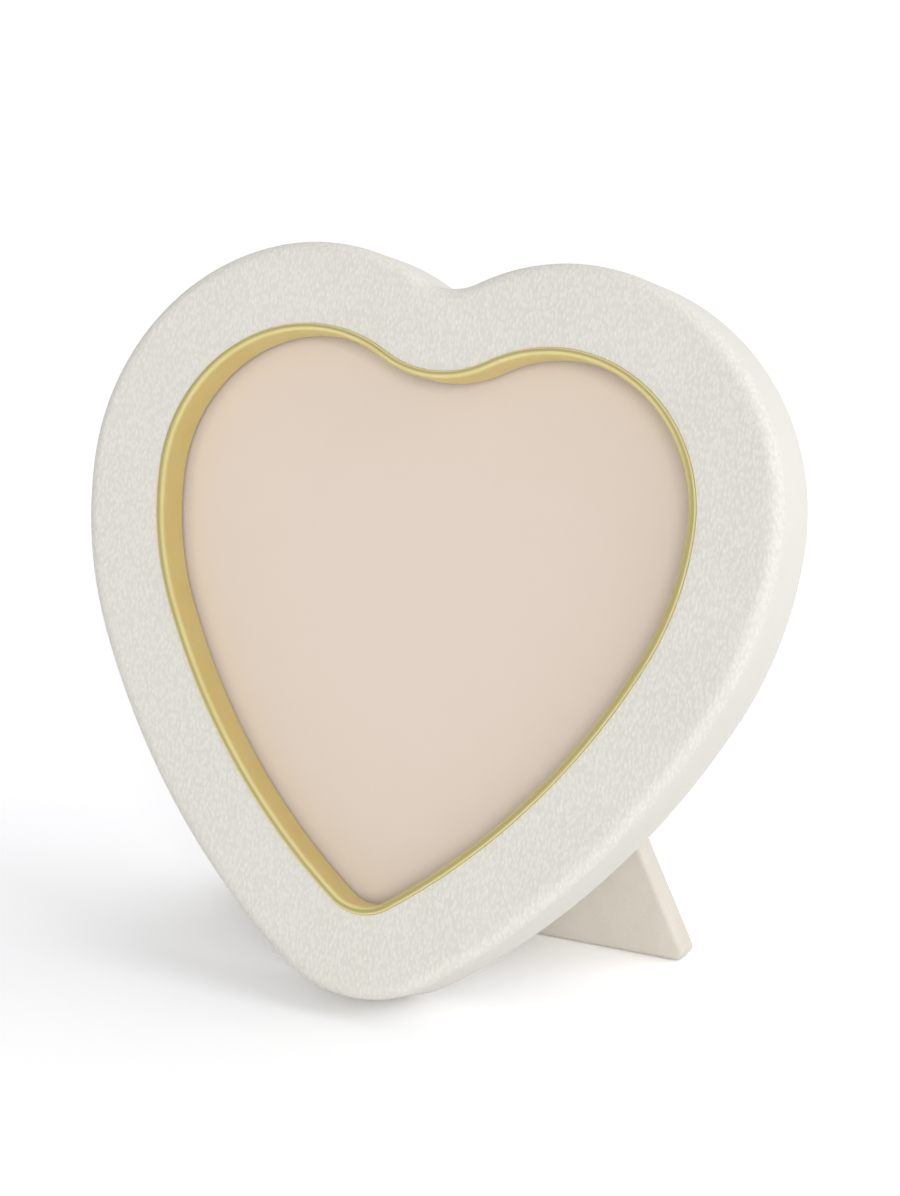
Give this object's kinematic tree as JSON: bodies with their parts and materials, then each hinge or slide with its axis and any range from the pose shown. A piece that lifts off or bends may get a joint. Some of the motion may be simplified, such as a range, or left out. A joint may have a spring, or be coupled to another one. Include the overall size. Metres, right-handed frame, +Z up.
{
  "type": "heart shaped photo frame",
  "caption": "Heart-shaped tabletop photo frame: ivory shagreen ring, polished brass bezel, glazed front, removable back held by turn buttons, hinged easel leg.",
  "frame": {"origin": "on the surface the frame stands on, under the middle of its box", "axes": "+Z up, +X to the viewer's right, the face looks towards -Y and leans back 17.8 degrees"},
  "size_m": [0.14, 0.0574, 0.1351],
  "materials": {
    "shagreen": "ivory pebbled shagreen, satin",
    "polished_brass": "polished",
    "hinge_brass": "satin brass plate",
    "clear_glass": "clear, polished edges",
    "blush_card": "matte blush card",
    "grey_board": "raw grey board",
    "board": "raw fibreboard",
    "suede": "napped ivory suede"
  },
  "bodies": {
    "frame": {"frame_core": "board", "back_panel": "board", "shagreen_wrap": "shagreen", "brass_bezel": "polished_brass", "glass_pane": "clear_glass", "photo_card": "blush_card", "filler_card": "grey_board", "back_lining": "suede", "hinge_panel_leaf": "hinge_brass", "hinge_pin": "hinge_brass", "panel_rivets": "hinge_brass", "turn_button_screws": "hinge_brass"},
    "easel_leg": {"leg_core": "board", "leg_cover": "suede", "hinge_leg_leaf": "hinge_brass", "leg_rivets": "hinge_brass"},
    "turn_button_notch": {"turn_button_notch": "hinge_brass"},
    "turn_button_left_lobe": {"turn_button_left_lobe": "hinge_brass"},
    "turn_button_right_lobe": {"turn_button_right_lobe": "hinge_brass"},
    "turn_button_left_side": {"turn_button_left_side": "hinge_brass"},
    "turn_button_right_side": {"turn_button_right_side": "hinge_brass"}
  },
  "joints": [
    {"name": "easel_leg_fold", "type": "hinge", "parent": "frame", "child": "easel_leg", "pos_m": [0, 0.01251, 0.07492], "axis": [-1, 0, 0], "range_deg": [0, 26.7]},
    {"name": "turn_button_notch_swivel", "type": "hinge", "parent": "frame", "child": "turn_button_notch", "pos_m": [0, 0.02435, 0.11867], "axis": [0, 0.9521, -0.3057], "continuous": true},
    {"name": "turn_button_left_lobe_swivel", "type": "hinge", "parent": "frame", "child": "turn_button_left_lobe", "pos_m": [-0.0497, 0.02353, 0.11612], "axis": [0, 0.9521, -0.3057], "continuous": true},
    {"name": "turn_button_right_lobe_swivel", "type": "hinge", "parent": "frame", "child": "turn_button_right_lobe", "pos_m": [0.0497, 0.02353, 0.11612], "axis": [0, 0.9521, -0.3057], "continuous": true},
    {"name": "turn_button_left_side_swivel", "type": "hinge", "parent": "frame", "child": "turn_button_left_side", "pos_m": [-0.04842, 0.00094, 0.04576], "axis": [0, 0.9521, -0.3057], "continuous": true},
    {"name": "turn_button_right_side_swivel", "type": "hinge", "parent": "frame", "child": "turn_button_right_side", "pos_m": [0.04842, 0.00094, 0.04576], "axis": [0, 0.9521, -0.3057], "continuous": true}
  ]
}
